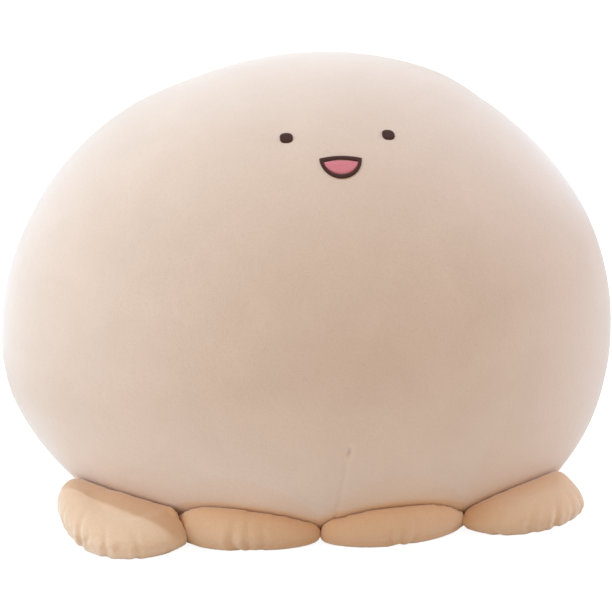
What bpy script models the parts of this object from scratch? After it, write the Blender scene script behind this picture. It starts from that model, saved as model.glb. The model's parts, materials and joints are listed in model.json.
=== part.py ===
"""Round plush pillow that sits on eight stuffed feet, with a small embroidered face.

Metres, +Z up. The face looks along -Y. The origin is on the floor under the middle of the pillow.
Left and right are as seen by someone who looks at the face.
"""

import math

import bmesh
import bpy
from mathutils import Vector
from mathutils.bvhtree import BVHTree

# Stuffed body: an egg shape, wide and soft, that sags onto its base panel
BODY_WIDTH = 0.500
BODY_DEPTH = 0.336
WIDEST_HEIGHT = 0.131
CROWN_RISE = 0.229
BELLY_DROP = 0.196
CROWN_LEAN = 0.007
CROWN_LEAN_POWER = 7
BASE_DRIFT = 0.029
BODY_SEGMENTS = 56
BODY_RINGS = 36

# Round panel that closes the body underneath and rests on the floor
BASE_PANEL_THICKNESS = 0.004
BASE_PANEL_INSET = 0.004
BASE_PANEL_SEGMENTS = 56

# Stuffed feet, four along the front and four along the back, sewn in under the edge of the base
FOOT_LENGTH = 0.111
INNER_FOOT_WIDTH = 0.145
OUTER_FOOT_WIDTH = 0.126
FOOT_HEIGHT = 0.042
FOOT_SEAM_HEIGHT = 0.012
FOOT_FLOOR_SHARE = 0.7
# A foot is puffed up at the end nearer the side of the pillow, where the belly leaves it room
FOOT_SIDE_SWELL = 0.3
FOOT_DOME_POWER = 1.2
FOOT_SEGMENTS = 28
FOOT_RINGS = 14
# Middle of a foot as a share of the body's half width and half depth, its turn from the front
# and how far the pair that it belongs to sits off the body's middle
INNER_FOOT_PLACE = (0.230, 0.628)
INNER_FOOT_TURN = 17.0
INNER_FOOT_SHIFT = -0.011
OUTER_FOOT_PLACE = (0.602, 0.580)
OUTER_FOOT_TURN = 55.0
OUTER_FOOT_SHIFT = -0.003

# Satin stitched face, drawn flat and laid on the body round one point of its centre line
FACE_ELEVATION = 47.5
FACE_SHIFT = 0.006
EYE_SPACING = 0.078
EYE_RISE = 0.0195
EYE_WIDTH = 0.010
EYE_HEIGHT = 0.0085
MOUTH_WIDTH = 0.0325
MOUTH_HEIGHT = 0.0185
MOUTH_LINE = 0.0038
MOUTH_CORNER_DRAW = 0.3
MOUTH_TOP_ARCH = 0.0015
STITCH_THICKNESS = 0.0012
# How far the stitches round off from a pad's edge to its top, and points along half an outline
STITCH_SHOULDER = 0.0008
STITCH_STEPS = 20

# Room left between pieces that touch
SEAM_GAP = 0.0003

SHARP_ANGLE = 40.0

HALF_WIDTH = BODY_WIDTH / 2
HALF_DEPTH = BODY_DEPTH / 2
BASE_HEIGHT = BASE_PANEL_THICKNESS + SEAM_GAP
BASE_SHARE = math.sqrt(1 - ((WIDEST_HEIGHT - BASE_HEIGHT) / BELLY_DROP) ** 2)
BASE_NORMAL_DROP = (WIDEST_HEIGHT - BASE_HEIGHT) / BELLY_DROP
BASE_HALF_WIDTH = HALF_WIDTH * BASE_SHARE
BASE_HALF_DEPTH = HALF_DEPTH * BASE_SHARE
BASE_CENTRE_X = BASE_DRIFT * BASE_NORMAL_DROP**2

BODY_COLOUR = (0.64, 0.50, 0.39)
FOOT_COLOUR = (0.68, 0.48, 0.33)
THREAD_BROWN = (0.085, 0.030, 0.022)
THREAD_PINK = (0.62, 0.20, 0.23)


def clear_scene():
    for thing in list(bpy.data.objects):
        bpy.data.objects.remove(thing)


def new_collection(name, hidden=False):
    collection = bpy.data.collections.new(name)
    collection.hide_render = hidden
    bpy.context.scene.collection.children.link(collection)
    return collection


def fabric(name, colour, roughness=0.9):
    material = bpy.data.materials.new(name)
    material.use_nodes = True
    shader = material.node_tree.nodes["Principled BSDF"]
    shader.inputs["Base Color"].default_value = (*colour, 1)
    shader.inputs["Roughness"].default_value = roughness
    shader.inputs["Metallic"].default_value = 0
    material.diffuse_color = (*colour, 1)
    return material


def finish(bm, name, collection, material):
    """Turns a bmesh into a smooth shaded object of its own."""
    bmesh.ops.recalc_face_normals(bm, faces=bm.faces)
    mesh = bpy.data.meshes.new(name)
    bm.to_mesh(mesh)
    bm.free()
    mesh.shade_smooth()
    mesh.set_sharp_from_angle(angle=math.radians(SHARP_ANGLE))
    mesh.materials.append(material)
    thing = bpy.data.objects.new(name, mesh)
    collection.objects.link(thing)
    return thing


def body_point(direction):
    """The point of the body's surface in one direction from the middle of its widest ring."""
    up, down = max(direction.z, 0), max(-direction.z, 0)
    shift = CROWN_LEAN * up**CROWN_LEAN_POWER + BASE_DRIFT * down**2
    return Vector(
        (
            HALF_WIDTH * direction.x + shift,
            HALF_DEPTH * direction.y,
            WIDEST_HEIGHT + CROWN_RISE * up - BELLY_DROP * down,
        )
    )


def open_body(clearance):
    """The body down to its base plane, open underneath, grown outwards by a clearance."""
    bm = bmesh.new()
    bmesh.ops.create_uvsphere(bm, u_segments=BODY_SEGMENTS, v_segments=BODY_RINGS, radius=1)
    for vertex in bm.verts:
        vertex.co = body_point(vertex.co.normalized())
    bm.normal_update()
    for vertex in bm.verts:
        vertex.co += clearance * vertex.normal
    everything = bm.verts[:] + bm.edges[:] + bm.faces[:]
    bmesh.ops.bisect_plane(
        bm, geom=everything, plane_co=(0, 0, BASE_HEIGHT), plane_no=(0, 0, 1), clear_inner=True
    )
    return bm


def make_body(collection, material):
    bm = open_body(0)
    bmesh.ops.holes_fill(bm, edges=[edge for edge in bm.edges if edge.is_boundary])
    return finish(bm, "body", collection, material)


def make_body_cutter(collection, material):
    """The body and its base panel with room round them, carried down through the floor."""
    bm = open_body(SEAM_GAP)
    rim = [edge for edge in bm.edges if edge.is_boundary]
    lowered = bmesh.ops.extrude_edge_only(bm, edges=rim)["geom"]
    for vertex in (part for part in lowered if isinstance(part, bmesh.types.BMVert)):
        vertex.co.z = -BASE_HEIGHT
    bmesh.ops.holes_fill(bm, edges=[edge for edge in bm.edges if edge.is_boundary])
    cutter = finish(bm, "body_cutter", collection, material)
    cutter.display_type = "WIRE"
    cutter.hide_render = True
    return cutter


def make_base_panel(collection, material):
    bm = bmesh.new()
    bmesh.ops.create_cone(
        bm, cap_ends=True, segments=BASE_PANEL_SEGMENTS, radius1=1, radius2=1, depth=1
    )
    for vertex in bm.verts:
        vertex.co.x = BASE_CENTRE_X + (BASE_HALF_WIDTH - BASE_PANEL_INSET) * vertex.co.x
        vertex.co.y = (BASE_HALF_DEPTH - BASE_PANEL_INSET) * vertex.co.y
        vertex.co.z = BASE_PANEL_THICKNESS * (vertex.co.z + 0.5)
    return finish(bm, "base_panel", collection, material)


def outward(turn):
    """The flat direction that is turned from the front by an angle in degrees."""
    angle = math.radians(turn)
    return Vector((math.sin(angle), -math.cos(angle), 0))


class Foot:
    """Where one foot is and how large: row is 1 in front and -1 behind, side is -1 on the left."""

    def __init__(self, kind, row, side):
        inner = kind == "inner"
        x_share, y_share = INNER_FOOT_PLACE if inner else OUTER_FOOT_PLACE
        shift = INNER_FOOT_SHIFT if inner else OUTER_FOOT_SHIFT
        turn = side * (INNER_FOOT_TURN if inner else OUTER_FOOT_TURN)
        self.name = f"foot_{'front' if row > 0 else 'back'}_{kind}_{'left' if side < 0 else 'right'}"
        self.centre = Vector((shift + side * x_share * HALF_WIDTH, -row * y_share * HALF_DEPTH, 0))
        self.along = outward(turn if row > 0 else 180 - turn)
        self.across = Vector((-self.along.y, self.along.x, 0))
        self.width = INNER_FOOT_WIDTH if inner else OUTER_FOOT_WIDTH
        self.swell = row * side * FOOT_SIDE_SWELL

    def mesh(self):
        """A domed pad: flat where it rests on the floor, with its sewn edge low down all round."""
        bm = bmesh.new()
        bmesh.ops.create_uvsphere(bm, u_segments=FOOT_SEGMENTS, v_segments=FOOT_RINGS, radius=1)
        floor_depth = math.sqrt(1 - FOOT_FLOOR_SHARE**2)
        for vertex in bm.verts:
            x, y, z = vertex.co
            if z > 0:
                swell = (1 + self.swell * y) * z**FOOT_DOME_POWER
                rise = FOOT_SEAM_HEIGHT + (FOOT_HEIGHT - FOOT_SEAM_HEIGHT) * swell
            else:
                rise = FOOT_SEAM_HEIGHT * max(0, 1 + z / floor_depth)
            vertex.co = self.centre + FOOT_LENGTH / 2 * x * self.along + self.width / 2 * y * self.across
            vertex.co.z = rise
        return bm

    def part_from(self, bm, neighbour):
        """Cuts the foot back to its own side of the upright plane that it shares with a neighbour."""
        way = (neighbour.centre - self.centre).normalized()
        share = self.width / (self.width + neighbour.width)
        middle = self.centre.lerp(neighbour.centre, share) - SEAM_GAP / 2 * way
        everything = bm.verts[:] + bm.edges[:] + bm.faces[:]
        bmesh.ops.bisect_plane(bm, geom=everything, plane_co=middle, plane_no=way, clear_outer=True)
        bmesh.ops.holes_fill(bm, edges=[edge for edge in bm.edges if edge.is_boundary])


def make_feet(collection, material, body_cutter):
    """The eight feet, taken in order round the base so that each one meets its two neighbours."""
    order = [("outer", -1), ("inner", -1), ("inner", 1), ("outer", 1)]
    feet = [Foot(kind, 1, side) for kind, side in order]
    feet += [Foot(kind, -1, side) for kind, side in reversed(order)]
    for number, foot in enumerate(feet):
        bm = foot.mesh()
        foot.part_from(bm, feet[number - 1])
        foot.part_from(bm, feet[(number + 1) % len(feet)])
        pad = finish(bm, foot.name, collection, material)
        cut = pad.modifiers.new("seat under body", "BOOLEAN")
        cut.operation = "DIFFERENCE"
        cut.object = body_cutter


class FaceDrawing:
    """Lays a flat drawing on the body, along the way that the body faces at the drawing's middle."""

    def __init__(self, body):
        self.tree = BVHTree.FromObject(body, bpy.context.evaluated_depsgraph_get())
        angle = math.radians(FACE_ELEVATION)
        self.middle = body_point(Vector((0, -math.cos(angle), math.sin(angle))))
        self.middle.x = FACE_SHIFT
        slope = Vector((0, -math.cos(angle) / HALF_DEPTH, math.sin(angle) / CROWN_RISE))
        self.out = slope.normalized()
        self.across = Vector((1, 0, 0))
        self.up = self.out.cross(self.across)

    def lay(self, across, up, lift):
        start = self.middle + across * self.across + up * self.up + HALF_DEPTH * self.out
        spot = self.tree.ray_cast(start, -self.out)[0]
        return spot + lift * self.out

    def loop(self, bm, outline, lift):
        return [bm.verts.new(self.lay(across, up, lift)) for across, up in outline]


def bridge(bm, first, second):
    """A band of faces between two loops with the same number of points."""
    count = len(first)
    for k in range(count):
        bm.faces.new((first[k], first[(k + 1) % count], second[(k + 1) % count], second[k]))


def stitched_pad(face, outline, name, collection, material):
    """A thin closed pad whose outline is given as a function of how far it is drawn in."""
    bm = bmesh.new()
    foot_loop = face.loop(bm, outline(0), SEAM_GAP)
    edge_loop = face.loop(bm, outline(0), SEAM_GAP + STITCH_THICKNESS / 2)
    top_loop = face.loop(bm, outline(STITCH_SHOULDER), SEAM_GAP + STITCH_THICKNESS)
    bridge(bm, foot_loop, edge_loop)
    bridge(bm, edge_loop, top_loop)
    bm.faces.new(top_loop)
    bm.faces.new(foot_loop)
    return finish(bm, name, collection, material)


def make_eye(face, side, name, collection, material):
    turns = [math.pi * k / STITCH_STEPS for k in range(2 * STITCH_STEPS)]

    def outline(inset):
        middle = side * EYE_SPACING / 2
        wide, high = EYE_WIDTH / 2 - inset, EYE_HEIGHT / 2 - inset
        return [(middle + wide * math.cos(t), EYE_RISE + high * math.sin(t)) for t in turns]

    return stitched_pad(face, outline, name, collection, material)


def mouth_shape(inset):
    """The open mouth: a nearly straight top line and a deep round lower lip, drawn in by an inset."""
    half = MOUTH_WIDTH / 2 - inset * (1 + MOUTH_CORNER_DRAW)
    deep = MOUTH_HEIGHT - inset * (2 + MOUTH_CORNER_DRAW)
    shares = [k / STITCH_STEPS for k in range(STITCH_STEPS)]
    top = [(half * (1 - 2 * q), MOUTH_TOP_ARCH * 4 * q * (1 - q) - inset) for q in shares]
    lip = [(-half * math.cos(math.pi * q), -deep * math.sin(math.pi * q) - inset) for q in shares]
    return top + lip


def make_mouth(face, collection, brown, pink):
    bm = bmesh.new()
    outer = face.loop(bm, mouth_shape(0), SEAM_GAP)
    outer_top = face.loop(bm, mouth_shape(STITCH_SHOULDER), SEAM_GAP + STITCH_THICKNESS)
    inner_top = face.loop(bm, mouth_shape(MOUTH_LINE - STITCH_SHOULDER), SEAM_GAP + STITCH_THICKNESS)
    inner = face.loop(bm, mouth_shape(MOUTH_LINE), SEAM_GAP)
    for first, second in ((outer, outer_top), (outer_top, inner_top), (inner_top, inner), (inner, outer)):
        bridge(bm, first, second)
    finish(bm, "mouth_outline", collection, brown)

    def fill_outline(inset):
        return mouth_shape(MOUTH_LINE + SEAM_GAP + inset)

    stitched_pad(face, fill_outline, "mouth_fill", collection, pink)


def main():
    clear_scene()
    pillow = new_collection("plush_pillow")
    cutters = new_collection("cutters", hidden=True)
    body_fabric = fabric("body_fabric", BODY_COLOUR)
    foot_fabric = fabric("foot_fabric", FOOT_COLOUR)
    brown = fabric("brown_thread", THREAD_BROWN, roughness=0.6)
    pink = fabric("pink_thread", THREAD_PINK, roughness=0.6)
    body = make_body(pillow, body_fabric)
    make_base_panel(pillow, body_fabric)
    make_feet(pillow, foot_fabric, make_body_cutter(cutters, body_fabric))
    face = FaceDrawing(body)
    make_eye(face, -1, "eye_left", pillow, brown)
    make_eye(face, 1, "eye_right", pillow, brown)
    make_mouth(face, pillow, brown, pink)


main()
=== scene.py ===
# %% [markdown]
# # A round plush pillow on eight stuffed feet
#
# The real thing is a big squashed ball of short velvety fabric, filled until it is taut. It sits on a
# ring of small petal shaped feet and has a tiny stitched face high on its front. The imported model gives
# every piece its place, so this lesson starts from it and dresses each piece in cloth.

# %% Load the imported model
import json
import math

import bpy
import numpy as np
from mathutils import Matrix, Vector

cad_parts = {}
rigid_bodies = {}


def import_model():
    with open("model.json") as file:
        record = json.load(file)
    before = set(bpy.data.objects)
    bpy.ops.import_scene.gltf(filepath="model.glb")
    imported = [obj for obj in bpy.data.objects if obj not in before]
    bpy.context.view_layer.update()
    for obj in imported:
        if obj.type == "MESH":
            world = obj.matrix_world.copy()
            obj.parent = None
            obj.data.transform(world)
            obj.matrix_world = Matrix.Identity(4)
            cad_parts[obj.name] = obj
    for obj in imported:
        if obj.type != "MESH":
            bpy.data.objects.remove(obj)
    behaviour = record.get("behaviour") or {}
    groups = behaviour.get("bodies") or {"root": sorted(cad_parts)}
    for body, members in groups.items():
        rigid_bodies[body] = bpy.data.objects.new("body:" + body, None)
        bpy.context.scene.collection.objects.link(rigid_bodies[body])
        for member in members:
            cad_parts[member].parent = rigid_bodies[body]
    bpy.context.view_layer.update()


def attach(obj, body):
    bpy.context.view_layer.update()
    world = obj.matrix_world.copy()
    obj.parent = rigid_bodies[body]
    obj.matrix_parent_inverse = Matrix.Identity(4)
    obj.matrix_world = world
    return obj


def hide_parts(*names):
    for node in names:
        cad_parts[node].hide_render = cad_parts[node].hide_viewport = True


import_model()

# %% [markdown]
# ## The camera
#
# A toy photographed for a shop is seen from far away with a long lens, so its sides hardly converge.
# The camera looks from a little left of the middle and sixteen degrees above the floor. Placing it from
# those two angles and a distance keeps each number something that can be read off the picture.

# %% Camera
VIEW_TURN, VIEW_RISE = math.radians(-8), math.radians(16)
VIEW_DISTANCE = 1.7
LOOK_AT_HEIGHT, LOOK_AT_SIDE = 0.1529, -0.004
LENS_MM, SENSOR_MM = 122.35, 36

camera = bpy.data.objects.new("camera", bpy.data.cameras.new("camera"))
bpy.context.scene.collection.objects.link(camera)
bpy.context.scene.camera = camera
camera.data.lens = LENS_MM
camera.data.sensor_width = SENSOR_MM
look_at = Vector((LOOK_AT_SIDE * math.cos(VIEW_TURN), LOOK_AT_SIDE * math.sin(VIEW_TURN), LOOK_AT_HEIGHT))
back = Vector((math.sin(VIEW_TURN) * math.cos(VIEW_RISE), -math.cos(VIEW_TURN) * math.cos(VIEW_RISE),
               math.sin(VIEW_RISE)))
camera.location = look_at + VIEW_DISTANCE * back
camera.rotation_euler = back.to_track_quat("Z", "Y").to_euler()
print("camera at", [round(v, 3) for v in camera.location])

# %% [markdown]
# ## Surfaces from numbers
#
# Every piece of cloth here is one closed skin. Its points are worked out as a whole array, ring after
# ring from one pole to the other, and a helper sews the rings into faces. Doing it with arrays keeps the
# formula of a shape in one place and lets a whole pillow be reshaped by changing one line.

# %% Helpers that make a piece
def add_piece(name, points, faces, material):
    """A smooth mesh with these points and faces, as an object that rides with the toy."""
    mesh = bpy.data.meshes.new(name)
    mesh.from_pydata(points.tolist(), [], faces)
    mesh.polygons.foreach_set("use_smooth", np.ones(len(mesh.polygons), bool))
    mesh.materials.append(material)
    mesh.update()
    piece = bpy.data.objects.new(name, mesh)
    bpy.context.scene.collection.objects.link(piece)
    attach(piece, "root")
    print(name, len(mesh.polygons), "faces")
    return piece


def closed_skin(name, rings, material):
    """Rings of points, in an array of (rings, points, 3), sewn into a closed skin. Each point is joined to
    the next one on its ring and to its fellow on the next ring. The first and last rings close on their
    middles."""
    count, around = rings.shape[:2]
    points = np.concatenate([rings.reshape(-1, 3), rings[:1].mean(1), rings[-1:].mean(1)])
    ring, turn = np.meshgrid(np.arange(count - 1), np.arange(around), indexing="ij")
    after = (turn + 1) % around
    quads = np.stack([ring * around + turn, (ring + 1) * around + turn,
                      (ring + 1) * around + after, ring * around + after], -1).reshape(-1, 4)
    turn = np.arange(around)
    after = (turn + 1) % around
    first = np.stack([np.full(around, count * around), turn, after], -1)
    last_ring = (count - 1) * around
    last = np.stack([np.full(around, count * around + 1), last_ring + after, last_ring + turn], -1)
    return add_piece(name, points, quads.tolist() + first.tolist() + last.tolist(), material)


# %% Helpers for formulas
TINY = 1e-6
HALVINGS = 30


def smooth_step(low, high, value):
    """0 below low, 1 above high, and 3t^2 - 2t^3 between them."""
    t = np.clip((value - low) / (high - low), 0, 1)
    return t * t * (3 - 2 * t)


def soft_min(*values, sharpness):
    """The smallest of several positive lengths, rounded where two are nearly equal: the sum of their
    powers of minus sharpness, to the power of minus one over sharpness."""
    return sum(np.maximum(v, TINY) ** -sharpness for v in values) ** (-1 / sharpness)


def find_skin(outer, inner, is_outside):
    """Where a skin lies between an outer and an inner end, as an array of distances. The interval is halved
    again and again, and each time the end that is on the same side as the middle moves there."""
    for _ in range(HALVINGS):
        middle = (outer + inner) / 2
        outside = is_outside(middle)
        outer, inner = np.where(outside, middle, outer), np.where(outside, inner, middle)
    return (outer + inner) / 2


# %% [markdown]
# ## Plush
#
# The cloth is a short velvety knit. From a step away its pile is too fine to see, but it does three
# things: it spreads light so that no highlight forms, it glows at the rim where the fibres are seen from
# the side, and it shows soft patches where it was stroked one way or the other. A sheen layer makes the
# glow, a coarse noise makes the patches, and a fine one makes the pile itself.

# %% Helpers for materials
def fill(tree, socket, source):
    """Links a socket to another node's output, or sets it to a number or to a colour of three numbers."""
    if isinstance(source, bpy.types.NodeSocket):
        tree.links.new(source, socket)
    else:
        socket.default_value = (*source, 1) if isinstance(source, tuple) else source


def fill_all(tree, node, **sources):
    """Fills a node's sockets by name. An underscore in a name stands for a space."""
    for name, source in sources.items():
        fill(tree, node.inputs[name.replace("_", " ")], source)


def add_node(tree, kind, output, **sources):
    """A new shader node with its sockets filled. What comes back is one of its outputs."""
    node = tree.nodes.new("ShaderNode" + kind)
    fill_all(tree, node, **sources)
    return node.outputs[output]


def calculate(tree, operation, first, second, clamp=False):
    """A new node that works out one number from two."""
    node = tree.nodes.new("ShaderNodeMath")
    node.operation = operation
    node.use_clamp = clamp
    fill(tree, node.inputs[0], first)
    fill(tree, node.inputs[1], second)
    return node.outputs["Value"]


def mix_colours(tree, share, first, second, blend="MIX"):
    """A new node that goes from the first colour to the second as the share goes from 0 to 1, or to the
    product of both where blend is MULTIPLY."""
    node = tree.nodes.new("ShaderNodeMix")
    node.data_type = "RGBA"
    node.blend_type = blend
    fill_all(tree, node, Factor=share, A=first, B=second)
    return node.outputs["Result"]


# %% Plush material
# noise scales, about this many blobs to a metre: patches of 45 mm, strokes of 4 mm and pile of 0.9 mm
PATCHES, STROKES, PILE = 22, 260, 1100
PATCH_RANGE, PILE_RANGE = (0.35, 0.65), (0.45, 0.85)
PATCH_SHADE, PILE_SHADE = 0.2, 0.55
PILE_TILT, PILE_HEIGHT = 0.25, 0.0008
PLUSH_ROUGHNESS, PLUSH_SPECULAR, SHEEN_ROUGHNESS = 0.95, 0.15, 0.6


def plush(name, colour, shade, sheen, glow, deep):
    """Pile fabric. Its colour drifts a fifth of the way to shade in patches a few centimetres wide, and
    about half of the way in specks of pile. The specks, and strokes of a few millimetres, also tilt the
    surface. Where the attribute that marks folds is 1 the colour is multiplied by deep: painted warm shade,
    standing in for light in a fold that has met warm cloth several times."""
    material = bpy.data.materials.new(name)
    material.use_nodes = True
    tree = material.node_tree
    place = add_node(tree, "TexCoord", "Object")
    patches = add_node(tree, "TexNoise", "Fac", Vector=place, Scale=PATCHES, Detail=3, Distortion=0.6)
    specks = add_node(tree, "TexNoise", "Fac", Vector=place, Scale=PILE, Detail=2)
    strokes = add_node(tree, "TexNoise", "Fac", Vector=place, Scale=STROKES, Detail=3)

    drift = add_node(tree, "MapRange", "Result", Value=patches, From_Min=PATCH_RANGE[0],
                     From_Max=PATCH_RANGE[1])
    drifted = tuple((1 - PATCH_SHADE) * a + PATCH_SHADE * b for a, b in zip(colour, shade))
    patchy = mix_colours(tree, drift, colour, drifted)
    pile = add_node(tree, "MapRange", "Result", Value=specks, From_Min=PILE_RANGE[0],
                    From_Max=PILE_RANGE[1], To_Max=PILE_SHADE)
    speckled = mix_colours(tree, pile, patchy, shade)
    # painted shade: the colour grows darker and warmer where the fold mask is 1, between the feet and the
    # belly
    tucked = tree.nodes.new("ShaderNodeAttribute")
    tucked.attribute_name = "tucked"
    painted_shade_colour = mix_colours(tree, tucked.outputs["Fac"], speckled, deep, blend="MULTIPLY")

    heights = calculate(tree, "ADD", specks, strokes)
    tilt = add_node(tree, "Bump", "Normal", Height=heights, Strength=PILE_TILT, Distance=PILE_HEIGHT)
    fill_all(tree, tree.nodes["Principled BSDF"], Base_Color=painted_shade_colour, Normal=tilt, Roughness=PLUSH_ROUGHNESS,
             Specular_IOR_Level=PLUSH_SPECULAR, Sheen_Weight=sheen, Sheen_Roughness=SHEEN_ROUGHNESS,
             Sheen_Tint=glow)
    print(name, "has", len(tree.nodes), "nodes")
    return material


# deep is a painted warm shade: the colour is multiplied by it in the folds and under the belly
body_plush = plush("body plush", colour=(0.69, 0.51, 0.39), shade=(0.54, 0.38, 0.275), sheen=1.0,
                   glow=(1.0, 1.0, 1.0), deep=(1.0, 0.76, 0.45))
foot_plush = plush("foot plush", colour=(0.735, 0.503, 0.333), shade=(0.585, 0.362, 0.210), sheen=0.9,
                   glow=(1.0, 0.93, 0.84), deep=(0.94, 0.60, 0.26))

# %% [markdown]
# ## The stuffed body
#
# A tight bag of filling comes close to an egg shape: round on top, a little flatter below, where its own
# weight spreads it. Its widest ring is 131 mm above the floor. Real filling is never even, so the axis of
# the egg wanders a few millimetres to the left and right on its way up, and its crown leans right. A
# short dart is sewn into the front of the belly. It draws the cloth in by less than a millimetre, and
# by two or three where it ends in a knot.

# %% Body surface
HALF_WIDTH, HALF_DEPTH = 0.250, 0.168
WIDEST, CROWN, BELLY = 0.131, 0.229, 0.196
BASE_HEIGHT = 0.0043
GAP = 0.0003
WANDER_LEVELS = [-0.65, -0.55, -0.4, -0.2, 0.0, 0.2, 0.45, 0.6, 0.75, 0.83, 0.88, 0.92, 0.96, 1.0]
WANDER_MM = [12.3, 8.5, 4.8, 0.2, -1.4, -1.2, -1.1, -2.1, -2.6, -1.4, 3.0, 7.0, 8.0, 8.4]
DART_SIDE, DART_TOP, DART_LEAN, DART_DEPTH, DART_HALF_WIDTH = 0.0058, 0.085, 0.11, 0.0006, 0.0022
DIMPLE_DEPTH, DIMPLE_HALF_HEIGHT, DIMPLE_HALF_WIDTH = 0.0024, 0.0042, 0.0015
FRONT_CROWDING = 0.8
FIRST_RING_ANGLE = 0.012
UNDERSIDE_SHARES = np.linspace(0.985, 0.02, 12)
SEARCH_BELOW_BASE = 0.1


def body_drift(level):
    """How far the egg's axis is to the right at a level from -1, its lowest point, to 1, its crown."""
    return np.interp(level, WANDER_LEVELS, WANDER_MM) / 1000


def level_of(height):
    """Height as a level: distance from the widest ring over the crown's or the belly's own height."""
    return np.where(height > WIDEST, (height - WIDEST) / CROWN, (height - WIDEST) / BELLY)


def height_of(level):
    """The height at a level, so level_of the other way round."""
    return WIDEST + np.where(level > 0, CROWN, BELLY) * level


def body_excess(x, y, z):
    """Below 0 inside the egg, 0 on it and above 0 outside: the sum of the squares of the three places,
    each as a share of the egg's half size, less one."""
    level = level_of(z)
    return ((x - body_drift(level)) / HALF_WIDTH) ** 2 + (y / HALF_DEPTH) ** 2 + level**2 - 1


def belly_height(x, y):
    """Height of the underside of the egg above a place on the floor, looked for between a level well below
    the base and the widest ring. Outside the egg's plan it is that of the widest ring."""
    lowest, highest = np.full_like(x, BASE_HEIGHT - SEARCH_BELOW_BASE), np.full_like(x, WIDEST)
    return find_skin(lowest, highest, lambda z: body_excess(x, y, z) > 0)


def body_rings(rings, around):
    """Rings from the crown to the base, each an ellipse round the wandering axis, then the flat underside.
    Points crowd together at the front, where the dart is: each turn u becomes u less a share of sin u. The
    dart is a bell curve across, which leans to the left on its way down, and so is the dimple on top."""
    turn = np.arange(around) * 2 * np.pi / around
    turn = turn - FRONT_CROWDING * np.sin(turn)
    down = np.linspace(FIRST_RING_ANGLE, math.acos(float(level_of(BASE_HEIGHT))), rings)
    level, turn = np.meshgrid(np.cos(down), turn, indexing="ij")
    out = np.sqrt(1 - level**2)
    x = HALF_WIDTH * out * np.sin(turn)
    y = -HALF_DEPTH * out * np.cos(turn)
    z = height_of(level)
    aside = x + body_drift(level) - DART_SIDE - DART_LEAN * (z - DART_TOP)
    line = DART_DEPTH * (z < DART_TOP) * np.exp(-(aside / DART_HALF_WIDTH) ** 2)
    from_knot = (aside / DIMPLE_HALF_WIDTH) ** 2 + ((z - DART_TOP) / DIMPLE_HALF_HEIGHT) ** 2
    dimple = DIMPLE_DEPTH * np.exp(-from_knot)
    y = y + (y < 0) * np.maximum(line, dimple)
    skin = np.stack([x + body_drift(level), y, z], -1)
    centre = skin[-1].mean(0)
    under = centre + UNDERSIDE_SHARES[:, None, None] * (skin[-1] - centre)
    return np.concatenate([skin, under])


body = closed_skin("stuffed_body", body_rings(rings=220, around=360), body_plush)
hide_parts("body")

# %% [markdown]
# ## The stuffed feet
#
# Each foot is two petal shaped panels sewn round their edge and filled. It is flat where it stands on the
# floor, has its seam low down, and domes up until the belly presses on it. So its height at each place is
# the lower of two things: its own dome and the underside of the belly. It stops where the body's base
# begins and where it meets the next foot. Four feet are seen in front, and the four behind mirror them.

# %% Where the feet are
BASE_SHARE = math.sqrt(1 - float(level_of(BASE_HEIGHT)) ** 2)
BASE_CENTRE = float(body_drift(level_of(BASE_HEIGHT)))
SEAM_HEIGHT = 0.0105
DOME_POWER = 0.46
# how far in the underside rolls up to the seam, and how square the edge is, where it is free and at a wall
FREE_ROLL, WALL_ROLL = 0.0255, 0.008
FREE_EDGE, WALL_EDGE = 10, 40
# how much too large a free edge is made, and how far two feet are pressed into each other's cloth
GATHER_ROOM, PRESSED = 0.0025, 0.0008
# how much of the space under the belly squeezed cloth fills at a wall, and the space that it fills best
WALL_RISE, WALL_RISE_GAP = 1.2, 0.014

# name, middle x, middle y, half length, half width, turn, dome height, side swell, tip lift, petal power
FRONT_FEET = [
    ("outer_left", -0.1573, -0.0875, 0.0545, 0.0640, -84, 0.0402, 0.50, 0.017, 2.05),
    ("inner_left", -0.0600, -0.0967, 0.0498, 0.0665, -5, 0.0452, 0.35, 0.000, 2.30),
    ("inner_right", 0.0430, -0.0985, 0.0530, 0.0740, 10, 0.0494, 0.08, 0.000, 2.00),
    ("outer_right", 0.1440, -0.0815, 0.0660, 0.0630, 70, 0.0370, 0.25, -0.018, 1.75),
]


def foot_list():
    """The front feet from left to right, then their mirror images behind from right to left."""
    feet = []
    for row, entries in ((1, FRONT_FEET), (-1, FRONT_FEET[::-1])):
        for name, x, y, length, width, turn, height, swell, lift, power in entries:
            facing = math.radians(turn if row > 0 else 180 - turn)
            along = np.array([math.sin(facing), -math.cos(facing)])
            side = -1 if "left" in name else 1
            feet.append(dict(name=("front_" if row > 0 else "back_") + name, row=row,
                             middle=np.array([x, row * y]), along=along,
                             across=np.array([-along[1], along[0]]), side=side, lift=lift,
                             inner="inner" in name, length=length, width=width, height=height,
                             swell=row * side * swell, power=power))
    return feet


print("base half size, mm:", round(1000 * HALF_WIDTH * BASE_SHARE), round(1000 * HALF_DEPTH * BASE_SHARE))

# %% [markdown]
# ### The outline of a foot
#
# Seen from above a foot is a petal, cut off by its neighbours. That is easy to say as a distance: walk from
# a point inside the foot in every direction, and stop at whatever comes first.

# %% Petals, walls and how far a way goes
STEP, STEPS = 0.001, 150
NEVER = 10.0


def petal_level(foot, points, room=0.0):
    """|u|^p + |v|^p, where u and v say how far along and across the foot a point is, as shares of the half
    length and half width. It is 1 on the petal's edge and less inside."""
    offset = points - foot["middle"]
    u = np.abs(offset @ foot["along"]) / (foot["length"] + room)
    v = np.abs(offset @ foot["across"]) / (foot["width"] + room)
    return u ** foot["power"] + v ** foot["power"]


def base_level(points):
    """(x / a)^2 + (y / b)^2 for the round on which the body stands: 1 on its edge and less inside."""
    return (((points[..., 0] - BASE_CENTRE) / (HALF_WIDTH * BASE_SHARE + GAP)) ** 2
            + (points[..., 1] / (HALF_DEPTH * BASE_SHARE + GAP)) ** 2)


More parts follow.
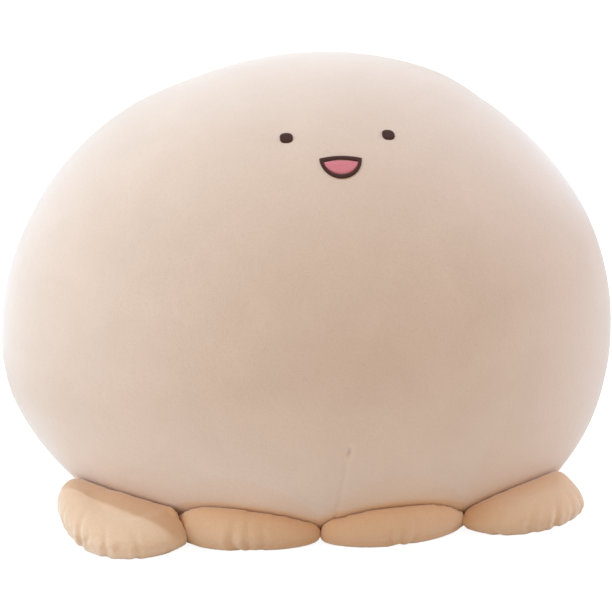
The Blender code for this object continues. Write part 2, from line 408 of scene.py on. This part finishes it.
def reach_until(start, way, level):
    """How far each way goes from start until the level passes 1: looked for in steps of a millimetre, and
    in a straight line between two steps. It is NEVER where it stays on one side."""
    excess = level(start + (np.arange(STEPS) * STEP)[:, None, None] * way) - 1
    crossed = excess * excess[0] < 0
    after = np.argmax(crossed, 0)
    before, column = np.maximum(after - 1, 0), np.arange(len(way))
    fall = excess[before, column] - excess[after, column]
    share = excess[before, column] / np.where(fall == 0, 1, fall)
    return np.where(crossed.any(0), (before + share) * STEP, NEVER)


def to_plane(start, way, point, normal):
    """Distance from start along each way to an upright plane, or NEVER for a way that leads off it."""
    speed = way @ normal
    return np.where(speed > TINY, ((point - start) @ normal) / np.maximum(speed, TINY), NEVER)


# %% Outline of one foot
EDGE_SHARPNESS = 40
# levels of a neighbour's petal between which cloth goes from pressed on it to free of it, and shares of the
# foot's own reach between which a wall goes from closing its edge to leaving it open
PETAL_FADE, WALL_FADE = (0.7, 1.1), (0.92, 1.10)


def foot_outline(foot, before, after, around=220):
    """The patch of floor under a foot, as a middle point, the ways out of it and how far each way reaches:
    the nearest of the petal's edge, the body's base and the neighbours. Two inner or two outer feet share
    an upright plane, and an outer foot gives way to the petal of an inner one. Also how open the edge is
    there, from 0 at such a wall to 1, and how free the cloth is, which is 0 where it presses on any foot."""
    turn = np.arange(around) * 2 * np.pi / around
    way = np.stack([np.cos(turn), np.sin(turn)], -1)
    tip = foot["middle"] + foot["along"] * foot["length"]
    start = tip - 0.5 * foot["along"] * reach_until(tip, -foot["along"][None], base_level)
    snug = reach_until(start, way, lambda p: petal_level(foot, p))
    roomy = reach_until(start, way, lambda p: petal_level(foot, p, GATHER_ROOM))
    alone = np.ones(around)
    walls = [reach_until(start, way, base_level)]
    for other in (before, after):
        if foot["inner"] == other["inner"]:
            apart = other["middle"] - foot["middle"]
            normal = apart / np.linalg.norm(apart)
            share = foot["width"] / (foot["width"] + other["width"])
            walls.append(to_plane(start, way, foot["middle"] + share * apart + PRESSED * normal, normal))
        elif foot["inner"]:
            edge = petal_level(other, start + snug[:, None] * way)
            alone = np.minimum(alone, smooth_step(*PETAL_FADE, edge))
        else:
            walls.append(reach_until(start, way, lambda p: petal_level(other, p)) + PRESSED)
    wall = soft_min(*walls, sharpness=EDGE_SHARPNESS)
    own_reach = snug + alone * (roomy - snug)
    reach = soft_min(own_reach, wall, sharpness=EDGE_SHARPNESS)
    is_open = smooth_step(*WALL_FADE, wall / own_reach)
    return start, way, reach, is_open, is_open * alone


# %% [markdown]
# ### The pad over that outline
#
# The pad is drawn ring by ring over its outline, up to the dome or the belly on top and down to the floor
# below. The end of the left outer foot is also bent up a little, and that of the right one droops.

# %% Shape of one foot
BEND_START, BEND_MOST = 0.15, 1.5
FIRST_RING, RING_POWER = 0.06, 0.75
BELLY_SHARPNESS, SEAM_SHARPNESS = 10, 6
# the cloth keeps this height however low the belly is, and the seam is no higher than this share of the top
LEAST_ROOM, SEAM_SHARE = 0.003, 0.5


def end_bend(foot, x):
    """How far the cloth is bent up towards the foot's outer end: the lift times the square of how far out
    it is, as a share of the reach past BEND_START. It is below 0 where the end droops."""
    start, way, reach = foot["outline"][:3]
    outward = (x - start[0]) * foot["side"] / (reach * way[:, 0] * foot["side"]).max()
    return foot["lift"] * np.clip((outward - BEND_START) / (1 - BEND_START), 0, BEND_MOST) ** 2


def foot_top(foot, x, y):
    """Height of the foot's own dome, with no belly on it: the seam's height and then a share of what is
    left, a power of 1 less the petal's level, which is larger to one side by its swell. Also that share.
    A droop is taken off the dome's height, and a bend lifts all of it."""
    points, bend = np.stack([x, y], -1), end_bend(foot, x)
    v = (points - foot["middle"]) @ foot["across"] / foot["width"]
    dome = np.clip(1 - petal_level(foot, points, GATHER_ROOM), 0, 1) ** DOME_POWER
    share = dome * (1 + foot["swell"] * v)
    height = foot["height"] - SEAM_HEIGHT - np.maximum(-bend, 0)
    return SEAM_HEIGHT + height * share + np.maximum(bend, 0), share


def foot_rings(foot, rings=56):
    """A closed pad over its own patch of floor. Its rings go from the middle of the top, over the seam at
    the edge, to the middle of the underside. The edge is well rounded where it is open, and nearly square
    at a wall, where the cloth is also squeezed up towards the belly."""
    start, way, reach, is_open, free = foot["outline"]
    sweep = np.linspace(FIRST_RING, np.pi - FIRST_RING, rings)
    out = (np.sin(sweep) ** RING_POWER)[:, None]
    plan = start + (out * reach)[..., None] * way
    bend = np.maximum(end_bend(foot, plan[..., 0]), 0)
    own = foot_top(foot, plan[..., 0], plan[..., 1])[0]
    under_belly = np.maximum(belly_height(plan[..., 0], plan[..., 1]) - GAP, LEAST_ROOM)
    space = np.maximum(under_belly - own, 0)
    own = own + WALL_RISE * (1 - free) * out**2 * space * np.exp(-space / WALL_RISE_GAP)
    top = soft_min(own, under_belly, sharpness=BELLY_SHARPNESS)
    edge = rings // 2
    seam = soft_min(SEAM_HEIGHT + bend[edge], SEAM_SHARE * top[edge], sharpness=SEAM_SHARPNESS)
    squareness = WALL_EDGE + (FREE_EDGE - WALL_EDGE) * is_open
    upper = seam + (top - seam) * np.sqrt(1 - np.minimum(out, 1) ** squareness)
    roll = WALL_ROLL + (FREE_ROLL - WALL_ROLL) * free
    from_edge = np.clip((1 - out) * reach / roll, 0, 1)
    low = np.minimum(bend, seam)
    lower = low + (seam - low) * (1 - np.sqrt(1 - (1 - from_edge) ** 2))
    z = np.where((sweep < np.pi / 2)[:, None], upper, lower)
    return np.concatenate([plan, z[..., None]], -1)


# %% Make the feet's first shape
feet = foot_list()
for number, foot in enumerate(feet):
    foot["outline"] = foot_outline(foot, feet[number - 1], feet[(number + 1) % len(feet)])
    rings = foot_rings(foot)
    foot["seam"] = rings[len(rings) // 2, :, 2]
    foot["pad"] = closed_skin("stuffed_foot_" + foot["name"], rings, foot_plush)
    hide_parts("foot_" + foot["name"])

# %% [markdown]
# ## Gathered cloth on the feet
#
# Sewing pulls the seam a little tighter than the cloth beside it, and the filling pushes the cloth out
# between the stitches. That is what puckers the edge of a stuffed toy. Blender's cloth can do just this:
# the pad is remeshed into even faces, its rest lengths shrink near the seam, air pressure stands for the
# filling, and after twenty frames it has found its shape. The shrinking draws the edge in, so the first
# shape is a little too large where its edge is free. The cloth is held where a foot presses on a neighbour
# and far in from the seam, and how far any point may go is capped, so the feet stay in their own places.

# %% Helpers for simulated cloth
WEIGHT_STEPS = 10


def read_vectors(mesh, kind="co"):
    """The places of all vertices of a mesh as one array, or with kind normal the ways that they face."""
    flat = np.empty(len(mesh.vertices) * 3)
    mesh.vertices.foreach_get(kind, flat)
    return flat.reshape(-1, 3)


def note(piece, **values):
    """Keeps one number for each vertex, which stays with the cloth however it moves or is divided."""
    for name, numbers in values.items():
        layer = piece.data.attributes.new(name, "FLOAT", "POINT")
        layer.data.foreach_set("value", numbers.astype(np.float32))


def noted(piece, name):
    """Reads such numbers back."""
    numbers = np.empty(len(piece.data.vertices), np.float32)
    piece.data.attributes[name].data.foreach_get("value", numbers)
    return numbers


def weigh(piece, name, weights):
    """A vertex group whose weights go in even steps, because a step's vertices are added at once."""
    group = piece.vertex_groups.new(name=name)
    for step in range(1, WEIGHT_STEPS + 1):
        chosen = np.flatnonzero(np.round(weights * WEIGHT_STEPS) == step)
        group.add(chosen.tolist(), step / WEIGHT_STEPS, "REPLACE")


def bake(piece):
    """The piece's modifiers, turned into its mesh."""
    bpy.context.view_layer.update()
    solid = bpy.data.meshes.new_from_object(piece.evaluated_get(bpy.context.evaluated_depsgraph_get()))
    piece.modifiers.clear()
    piece.data = solid


def beside_seam(foot, points):
    """For points on a foot: the way round it in turns, how free the edge is there, how far the point is
    outside the seam line in plan and how far above it."""
    start, way, reach, is_open, free = foot["outline"]
    away = points[:, :2] - start
    turn = np.arctan2(away[:, 1], away[:, 0]) / (2 * np.pi) % 1
    steps = np.arange(len(reach) + 1) / len(reach)
    reach_here, free_here, seam_here = (np.interp(turn, steps, np.append(row, row[0]))
                                        for row in (reach, free, foot["seam"]))
    return turn, free_here, np.linalg.norm(away, axis=1) - reach_here, points[:, 2] - seam_here


# %% Simulate the filling
VOXEL = 0.0032
SEAM_SHRINK, SHRINK_HALF_WIDTH = 0.026, 0.006
HELD_INSIDE, FREE_INSIDE = -0.035, -0.020
PRESSURE, CLOTH_MASS, BENDING, CLOTH_QUALITY = 200, 0.05, 0.05, 6
FRAMES, MOST_MOVE = 20, 0.009

for foot in feet:
    pad = foot["pad"]
    even = pad.modifiers.new("even faces", "REMESH")
    even.mode, even.voxel_size, even.use_smooth_shade = "VOXEL", VOXEL, True
    bake(pad)
    foot["before"] = read_vectors(pad.data)
    turn, free, outside, above = beside_seam(foot, foot["before"])
    note(pad, round_cos=np.cos(2 * np.pi * turn), round_sin=np.sin(2 * np.pi * turn), free=free,
         outside=outside, above=above)
    weigh(pad, "seam", np.exp(-(outside**2 + above**2) / SHRINK_HALF_WIDTH**2) * free)
    weigh(pad, "held", 1 - free * smooth_step(HELD_INSIDE, FREE_INSIDE, outside))
    cloth = pad.modifiers.new("cloth", "CLOTH")
    cloth.settings.quality = CLOTH_QUALITY
    cloth.settings.mass = CLOTH_MASS
    cloth.settings.use_pressure = True
    cloth.settings.uniform_pressure_force = PRESSURE
    cloth.settings.bending_stiffness = BENDING
    cloth.settings.shrink_max = SEAM_SHRINK
    cloth.settings.vertex_group_shrink = "seam"
    cloth.settings.vertex_group_mass = "held"
    cloth.settings.effector_weights.gravity = 0
    cloth.point_cache.frame_end = FRAMES

for number in range(1, FRAMES + 1):
    bpy.context.scene.frame_set(number)

for foot in feet:
    pad = foot["pad"]
    bake(pad)
    moved = read_vectors(pad.data) - foot["before"]
    far = np.linalg.norm(moved, axis=1, keepdims=True)
    points = foot["before"] + moved * np.minimum(1, MOST_MOVE / np.maximum(far, TINY))
    pad.data.vertices.foreach_set("co", points.ravel())
    finer = pad.modifiers.new("finer", "SUBSURF")
    finer.levels = finer.render_levels = 1
    bake(pad)
    print(foot["name"], "moved up to", round(1000 * float(far.max()), 1), "mm")
bpy.context.scene.frame_set(1)

# %% [markdown]
# ## The seam and its folds
#
# The groove of the seam, and a few deep folds where the cloth was caught while sewing, are narrower than
# a face of the simulated mesh. They are pressed in afterwards, on the finer mesh, along the cloth's own
# normal. At last each foot is trimmed to the room between the floor and the belly, and every point is given
# a share of painted shade by how tucked away it is, which the plush uses to paint the folds darker and
# warmer.

# %% Helpers for the folds
SEAM_DEPTH, SEAM_HALF_WIDTH = 0.0006, 0.0022
FOLD_DEPTH, FOLD_HALF_WIDTH, FOLD_LENGTH = 0.0014, 0.0022, 0.016
# the cloth beside a fold bulges by this share of its depth, this many half widths from its middle
BULGE_SHARE, BULGE_PLACE = 0.4, 2.2

# where the folds are on each foot, in degrees from the way the foot points, and how deep each is
FOLDS = {
    "outer_left": [(50, 1.6), (77, 0.8), (100, 0.7), (20, 0.7)],
    "inner_left": [(-50, 1.2), (-20, 0.6), (25, 0.5)],
    "inner_right": [(-40, 0.8), (-15, 0.9), (30, 0.5)],
    "outer_right": [(-20, 0.6), (-48, 0.6), (-76, 1.1), (-100, 0.8), (-120, 0.7)],
}


def bell(distance, half_width):
    """A bell curve: e to the power of minus the square of the distance in half widths."""
    return np.exp(-(distance / half_width) ** 2)


def pressed_depth(foot):
    """How deep each point of a foot is pressed in: a bell curve across the seam, and for each fold one
    across the fold, less two lower ones beside it, which fades with the distance from the seam."""
    pad, reach = foot["pad"], foot["outline"][2]
    outside, free = noted(pad, "outside"), noted(pad, "free")
    to_seam = np.sqrt(outside**2 + noted(pad, "above") ** 2)
    turn = np.arctan2(noted(pad, "round_sin"), noted(pad, "round_cos"))
    ahead = math.atan2(foot["along"][1], foot["along"][0])
    size = np.interp(turn % (2 * np.pi), np.arange(len(reach)) * 2 * np.pi / len(reach), reach)
    depth = SEAM_DEPTH * free * bell(to_seam, SEAM_HALF_WIDTH)
    for angle, strength in FOLDS[foot["name"].split("_", 1)[1]]:
        off = (turn - ahead - foot["row"] * math.radians(angle) + np.pi) % (2 * np.pi) - np.pi
        aside = off * (size + outside)
        along_fold = bell(to_seam, FOLD_LENGTH) * free
        bulge = BULGE_SHARE * bell(np.abs(aside) - BULGE_PLACE * FOLD_HALF_WIDTH, FOLD_HALF_WIDTH)
        depth = depth + strength * FOLD_DEPTH * along_fold * (bell(aside, FOLD_HALF_WIDTH) - bulge)
    return depth


# %% Press in the seams and folds
# the height that trimmed cloth keeps however low the belly is
LEAST_TRIMMED = 0.002
# how fast the painted warm shade falls off, far and near, and how strong the far part is on a foot
WIDE_SHADE_FALLOFF, NARROW_SHADE_FALLOFF = 0.034, 0.005
FOOT_WIDE_SHADE_SHARE = 0.6
FAR_OFF = 1.0

for foot in feet:
    pad = foot["pad"]
    points = read_vectors(pad.data) - pressed_depth(foot)[:, None] * read_vectors(pad.data, "normal")
    room = np.maximum(belly_height(points[:, 0], points[:, 1]) - GAP, LEAST_TRIMMED)
    points[:, 2] = np.clip(points[:, 2], 0, room)
    pad.data.vertices.foreach_set("co", points.ravel())
    pad.data.update()
    # painted shade mask: 1 where the cloth is pressed under the belly or against a wall, falling off with
    # the room left
    under = np.where(np.abs(points[:, 1]) < HALF_DEPTH, room - points[:, 2], FAR_OFF)
    beside = np.where(noted(pad, "free") < 0.5, -noted(pad, "outside"), FAR_OFF)
    wide = FOOT_WIDE_SHADE_SHARE * np.exp(-np.maximum(under, 0) / WIDE_SHADE_FALLOFF)
    narrow = np.exp(-np.maximum(np.minimum(under, beside), 0) / NARROW_SHADE_FALLOFF)
    note(pad, tucked=np.maximum(wide, narrow))
    print(foot["name"], "stands", round(1000 * float(points[:, 2].max()), 1), "mm high")

# %% [markdown]
# ## Painted warm shade in the folds
#
# Deep between the belly and the feet no lamp is seen, and all the light there has bounced from cloth to
# cloth and grown warmer. That darker, warmer shade is painted into the plush's colour, by how tucked away
# a point is, which falls off with its distance from the neighbour. On a foot that is its room under the
# belly, or near a wall its distance from the wall. On the belly it is the height above the foot's own dome.

# %% Note how much painted shade the belly gets
BODY_WIDE_SHADE_SHARE = 0.4

skin = read_vectors(body.data)
above_foot = np.full(len(skin), FAR_OFF)
for foot in feet:
    top, share = foot_top(foot, skin[:, 0], skin[:, 1])
    above_foot = np.where(share > 0, np.minimum(above_foot, skin[:, 2] - top), above_foot)
above_foot = np.where(skin[:, 2] < WIDEST, np.maximum(above_foot, 0), FAR_OFF)
# painted shade on the belly: strongest just above a foot's dome, fading upward
wide, narrow = BODY_WIDE_SHADE_SHARE * np.exp(-above_foot / WIDE_SHADE_FALLOFF), np.exp(-above_foot / NARROW_SHADE_FALLOFF)
note(body, tucked=np.maximum(wide, narrow))
print("tucked share of the body:", round(float((noted(body, "tucked") > 0.5).mean()), 3))

# %% [markdown]
# ## Base panel
#
# The panel that closes the body underneath is one flat round of the same cloth. It carries the weight, so
# it is pressed flat, and only its edge rolls up into the seam.

# %% Base panel
PANEL_THICKNESS, PANEL_MARGIN = 0.004, 0.0045
# how far in from the rim its flat rings begin and end, as shares of the radius
PANEL_MIDDLE, PANEL_EDGE = 0.98, 0.05
PANEL_MEAN_RADIUS = 0.12


def base_rings(around=240, flat_rings=10, edge_rings=15):
    """A flat round whose edge is half a circle, as a profile carried round an ellipse. The profile goes out
    over the top, round the edge and back in below, and says how far in from the rim it is, as a share of the
    radius, and how high."""
    turn = np.arange(around) * 2 * np.pi / around
    bend = np.linspace(0, np.pi, edge_rings)
    inward = np.linspace(PANEL_EDGE, PANEL_MIDDLE, flat_rings)
    rounded = PANEL_THICKNESS / 2 * (1 - np.sin(bend)) / PANEL_MEAN_RADIUS
    inset = np.concatenate([inward[::-1], rounded, inward])
    height = np.concatenate([np.full(flat_rings, PANEL_THICKNESS),
                             PANEL_THICKNESS / 2 * (1 + np.cos(bend)), np.zeros(flat_rings)])
    share = (1 - inset)[:, None]
    x = BASE_CENTRE + (HALF_WIDTH * BASE_SHARE - PANEL_MARGIN) * share * np.sin(turn)
    y = -(HALF_DEPTH * BASE_SHARE - PANEL_MARGIN) * share * np.cos(turn)
    return np.stack([x, y, np.broadcast_to(height[:, None], x.shape)], -1)


panel = closed_skin("base_panel_cloth", base_rings(), body_plush)
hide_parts("base_panel")

# %% [markdown]
# ## The stitched face
#
# The eyes and the mouth are satin stitch: threads laid side by side until they cover the cloth. Each
# thread is a thin tube that rises out of the plush, arches over and goes back in. All the threads of one
# shape are worked out at once, from a list of where each starts and ends on a flat drawing, which is then
# laid onto the body along the way that the body faces there.

# %% Thread material
FIBRES = 2500
FIBRE_TILT, FIBRE_HEIGHT = 0.4, 0.0002
THREAD_ROUGHNESS, THREAD_SPECULAR = 0.6, 0.25


def thread(name, colour, dark):
    """Embroidery thread, a little shiny. Its colour goes from dark to colour, and its surface is tilted,
    with a noise about as fine as a thread is wide."""
    material = bpy.data.materials.new(name)
    material.use_nodes = True
    tree = material.node_tree
    place = add_node(tree, "TexCoord", "Object")
    fibres = add_node(tree, "TexNoise", "Fac", Vector=place, Scale=FIBRES)
    tilt = add_node(tree, "Bump", "Normal", Height=fibres, Strength=FIBRE_TILT, Distance=FIBRE_HEIGHT)
    fill_all(tree, tree.nodes["Principled BSDF"], Base_Color=mix_colours(tree, fibres, dark, colour),
             Normal=tilt, Roughness=THREAD_ROUGHNESS, Specular_IOR_Level=THREAD_SPECULAR)
    print(name, "has", len(tree.nodes), "nodes")
    return material


brown_thread = thread("brown thread", colour=(0.085, 0.026, 0.016), dark=(0.030, 0.009, 0.006))
pink_thread = thread("pink thread", colour=(0.80, 0.29, 0.32), dark=(0.58, 0.17, 0.20))

# %% Lay a flat drawing on the body
FACE_LEVEL_ANGLE, FACE_SIDE = math.radians(47.5), 0.006
FACE_SEARCH = 0.05
TO_THE_RIGHT = np.array([1.0, 0.0, 0.0])

face_middle = np.array([FACE_SIDE, -HALF_DEPTH * math.cos(FACE_LEVEL_ANGLE),
                        WIDEST + CROWN * math.sin(FACE_LEVEL_ANGLE)])
face_out = np.array([0, -math.cos(FACE_LEVEL_ANGLE) / HALF_DEPTH, math.sin(FACE_LEVEL_ANGLE) / CROWN])
face_out /= np.linalg.norm(face_out)
face_up = np.cross(face_out, TO_THE_RIGHT)
print("the face is", round(1000 * float(face_middle[2])), "mm above the floor")


def on_body(across, up, lift):
    """Points of a flat drawing, moved onto the egg along the drawing's own normal, and lifted off it."""
    plane = face_middle + across[..., None] * TO_THE_RIGHT + up[..., None] * face_up
    farthest = np.full(across.shape, FACE_SEARCH)
    skin_at = find_skin(farthest, -farthest,
                        lambda far: body_excess(*np.moveaxis(plane + far[..., None] * face_out, -1, 0)) > 0)
    return plane + (skin_at + lift)[..., None] * face_out


# %% Satin stitches
THREAD_HALF, THREAD_PITCH = 0.00024, 0.00040
SWELL_POWER, ARCH_POWER, THINNEST_END = 10, 4, 0.05


def satin(name, starts, ends, rise, material, node, rings=13, sides=7):
    """One tube for each thread, from its start to its end on the drawing. With s from -1 to 1 along it, the
    tube rises as 1 - |s|^4, a flattened arch, and its thickness is the root of 1 - |s|^10, so it is nearly
    full within a tenth of its run."""
    along = np.linspace(0, 1, rings)
    spin = np.arange(sides) * 2 * np.pi / sides
    from_middle = np.abs(2 * along - 1)
    swell = np.maximum(np.sqrt(np.clip(1 - from_middle**SWELL_POWER, 0, 1)), THINNEST_END)
    arch = rise * (1 - from_middle**ARCH_POWER) - THREAD_HALF
    line = starts[:, None] + along[None, :, None] * (ends - starts)[:, None]
    core = on_body(line[..., 0], line[..., 1], np.broadcast_to(arch, line.shape[:2]))
    run = np.gradient(core, axis=1)
    run /= np.linalg.norm(run, axis=-1, keepdims=True)
    side = np.cross(run, face_out)
    side /= np.linalg.norm(side, axis=-1, keepdims=True)
    lift = np.cross(side, run)
    ring = np.cos(spin)[:, None] * side[:, :, None] + np.sin(spin)[:, None] * lift[:, :, None]
    tube = core[:, :, None] + THREAD_HALF * swell[:, None, None] * ring
    threads, steps, around = tube.shape[:3]
    t, s, a = np.meshgrid(np.arange(threads), np.arange(steps - 1), np.arange(around), indexing="ij")
    first = (t * steps + s) * around
    quads = np.stack([first + a, first + around + a, first + around + (a + 1) % around,
                      first + (a + 1) % around], -1).reshape(-1, 4)
    thread_starts = (np.arange(threads) * steps * around)[:, None]
    heads = thread_starts + np.arange(around)
    tails = thread_starts + (steps - 1) * around + np.arange(around)[::-1]
    faces = quads.tolist() + heads.tolist() + tails.tolist()
    piece = add_piece(name, tube.reshape(-1, 3), faces, material)
    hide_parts(node)
    print(name, threads, "threads")


# %% [markdown]
# ### Eyes and mouth
#
# An eye is a dot with slightly squared sides, filled with upright threads. The mouth is an open smile. Its
# line is made of short threads across the outline, and its pink filling of upright threads between an
# upper and a lower edge. The eye on the right sits a little higher, as on the real toy.

# %% Eyes
EYE_APART, EYE_HALF_WIDTH, EYE_HALF_HEIGHT = 0.078, 0.0048, 0.0049
LEFT_EYE_UP, RIGHT_EYE_UP = 0.0192, 0.0206
EYE_POWER, LEAST_THREAD = 2.6, 0.02
LINE_RISE, FILL_RISE = 0.0011, 0.0007

for side, name, eye_up in ((-1, "left", LEFT_EYE_UP), (1, "right", RIGHT_EYE_UP)):
    across = np.arange(-EYE_HALF_WIDTH, EYE_HALF_WIDTH, THREAD_PITCH) + THREAD_PITCH / 2
    room = np.clip(1 - np.abs(across / EYE_HALF_WIDTH) ** EYE_POWER, LEAST_THREAD, 1)
    half = EYE_HALF_HEIGHT * room ** (1 / EYE_POWER)
    centre = side * EYE_APART / 2 + across
    low_ends, high_ends = np.stack([centre, eye_up - half], -1), np.stack([centre, eye_up + half], -1)
    satin("stitched_eye_" + name, low_ends, high_ends, LINE_RISE, brown_thread, "eye_" + name)

# %% Mouth
MOUTH_HALF, MOUTH_DEEP, MOUTH_LINE, MOUTH_ARCH = 0.01625, 0.0170, 0.0034, 0.0018
# how many insets the corners and the lowest point of the mouth's outline are drawn in
CORNER_INSETS, LOW_INSETS = 1.1, 2.1
FILL_UNDER_LINE = 0.0003


def mouth_shape(inset, count, drawn=400):
    """Points at even steps along the mouth's outline, drawn in by an inset, and the outline's length. It is
    an arched top line, a parabola from right to left, then the lower lip, half an ellipse, back again."""
    half, deep = MOUTH_HALF - CORNER_INSETS * inset, MOUTH_DEEP - LOW_INSETS * inset
    q = np.linspace(0, 1, drawn, endpoint=False)
    top = np.stack([half * (1 - 2 * q), MOUTH_ARCH * 4 * q * (1 - q) - inset], -1)
    lip = np.stack([-half * np.cos(np.pi * q), -deep * np.sin(np.pi * q) - inset], -1)
    loop = np.concatenate([top, lip])
    step = np.linalg.norm(np.roll(loop, -1, 0) - loop, axis=1)
    place = np.concatenate([[0], np.cumsum(step)])
    loop = np.concatenate([loop, loop[:1]])
    at = np.linspace(0, place[-1], count, endpoint=False)
    return np.stack([np.interp(at, place, loop[:, k]) for k in (0, 1)], -1), place[-1]


threads = int(mouth_shape(0, 1)[1] / THREAD_PITCH)
satin("stitched_mouth_line", mouth_shape(0, threads)[0], mouth_shape(MOUTH_LINE, threads)[0], LINE_RISE,
      brown_thread, "mouth_outline")

inner = mouth_shape(MOUTH_LINE - FILL_UNDER_LINE, count=1200)[0]
across = np.arange(inner[:, 0].min() + THREAD_PITCH / 2, inner[:, 0].max(), THREAD_PITCH)
split = int(np.argmin(inner[:, 0]))
upper, lower = inner[:split], inner[split:]
top_line = np.interp(across, upper[::-1, 0], upper[::-1, 1])
low_line = np.interp(across, lower[:, 0], lower[:, 1])
satin("stitched_mouth_fill", np.stack([across, low_line], -1), np.stack([across, top_line], -1), FILL_RISE,
      pink_thread, "mouth_fill")

# %% [markdown]
# ## Light and backdrop
#
# The toy was photographed on white, between two big soft lights that make both its sides pale. A smaller
# lamp high up on each side throws the belly's shadow on the outer feet. The left one is the stronger, and
# nearly a point, so its shadow has a crisp edge. A third one behind whitens the crown. What the front
# gets comes mostly from the warm room itself. The floor shows white to the camera, and still takes the
# toy's faint shadow.

# %% Floor
FLOOR_HALF = 6.0
CARD_COLOUR, CARD_SEEN_COLOUR, CARD_SEEN_GLOW = (0.85, 0.85, 0.85), (0.25, 0.25, 0.25), 0.92


def looked_at(tree):
    """1 where the camera looks, also in something glossy or clear, and 0 where light bounces on its way to
    the toy: the Light Path's three kinds of ray, added up and capped at 1."""
    path = tree.nodes.new("ShaderNodeLightPath")
    seen = calculate(tree, "ADD", path.outputs["Is Camera Ray"], path.outputs["Is Glossy Ray"])
    return calculate(tree, "ADD", seen, path.outputs["Is Transmission Ray"], clamp=True)


def backdrop_material():
    """Card that lights the toy from below as white card does, but that the camera sees as white light on
    a grey card, so that it stays white where the toy's shadow is faint."""
    material = bpy.data.materials.new("white card")
    material.use_nodes = True
    tree = material.node_tree
    seen = looked_at(tree)
    card = tree.nodes["Principled BSDF"]
    fill_all(tree, card, Base_Color=mix_colours(tree, seen, CARD_COLOUR, CARD_SEEN_COLOUR),
             Roughness=1, Specular_IOR_Level=0)
    glow = add_node(tree, "Emission", "Emission",
                    Strength=calculate(tree, "MULTIPLY", seen, CARD_SEEN_GLOW))
    both = tree.nodes.new("ShaderNodeAddShader")
    tree.links.new(card.outputs["BSDF"], both.inputs[0])
    tree.links.new(glow, both.inputs[1])
    tree.links.new(both.outputs["Shader"], tree.nodes["Material Output"].inputs["Surface"])
    return material


floor_mesh = bpy.data.meshes.new("floor")
floor_corners = [(FLOOR_HALF * x, FLOOR_HALF * y, 0) for x, y in ((-1, -1), (1, -1), (1, 1), (-1, 1))]
floor_mesh.from_pydata(floor_corners, [], [(0, 1, 2, 3)])
floor_mesh.materials.append(backdrop_material())
floor = bpy.data.objects.new("floor", floor_mesh)
bpy.context.scene.collection.objects.link(floor)
print("floor:", 2 * FLOOR_HALF, "m wide")

# %% Lights
TOY_MIDDLE = Vector((0, 0, 0.18))


def soft_light(name, place, size, power, tint):
    """A square soft box that faces the middle of the toy."""
    lamp = bpy.data.lights.new(name, "AREA")
    lamp.size = size
    lamp.energy = power
    lamp.color = tint
    holder = bpy.data.objects.new(name, lamp)
    bpy.context.scene.collection.objects.link(holder)
    holder.location = place
    toward = TOY_MIDDLE - Vector(place)
    holder.rotation_euler = toward.to_track_quat("-Z", "Y").to_euler()
    print(name, "gives", power, "W from", round(toward.length, 2), "m away")


soft_light("left box", (-1.65, -0.35, 0.68), 1.2, 17, (0.60, 0.79, 1.0))
soft_light("right box", (1.75, 0.0, 1.0), 1.1, 15, (0.59, 0.74, 1.0))
soft_light("left ceiling lamp", (-0.62, 0.0, 2.1), 0.09, 22.5, (0.49, 0.72, 0.95))
soft_light("right ceiling lamp", (0.62, 0.0, 2.1), 0.4, 6, (0.45, 0.65, 1.0))
soft_light("back ceiling lamp", (0.0, 0.9, 1.9), 0.8, 5, (0.27, 0.58, 1.0))

# %% World
ROOM_COLOUR, ROOM_STRENGTH = (1.0, 0.80, 0.56), 0.66

world = bpy.data.worlds.new("white room")
bpy.context.scene.world = world
world.use_nodes = True
room = world.node_tree
surround = room.nodes["Background"]
fill_all(room, surround, Color=ROOM_COLOUR, Strength=ROOM_STRENGTH)
pick = room.nodes.new("ShaderNodeMixShader")
fill(room, pick.inputs["Fac"], looked_at(room))
fill(room, pick.inputs[1], surround.outputs["Background"])
fill(room, pick.inputs[2], add_node(room, "Background", "Background", Color=(1.0, 1.0, 1.0), Strength=1.0))
fill(room, room.nodes["World Output"].inputs["Surface"], pick.outputs["Shader"])
bpy.context.scene.view_settings.view_transform = "Standard"
print("the room lights the toy with a strength of", ROOM_STRENGTH)
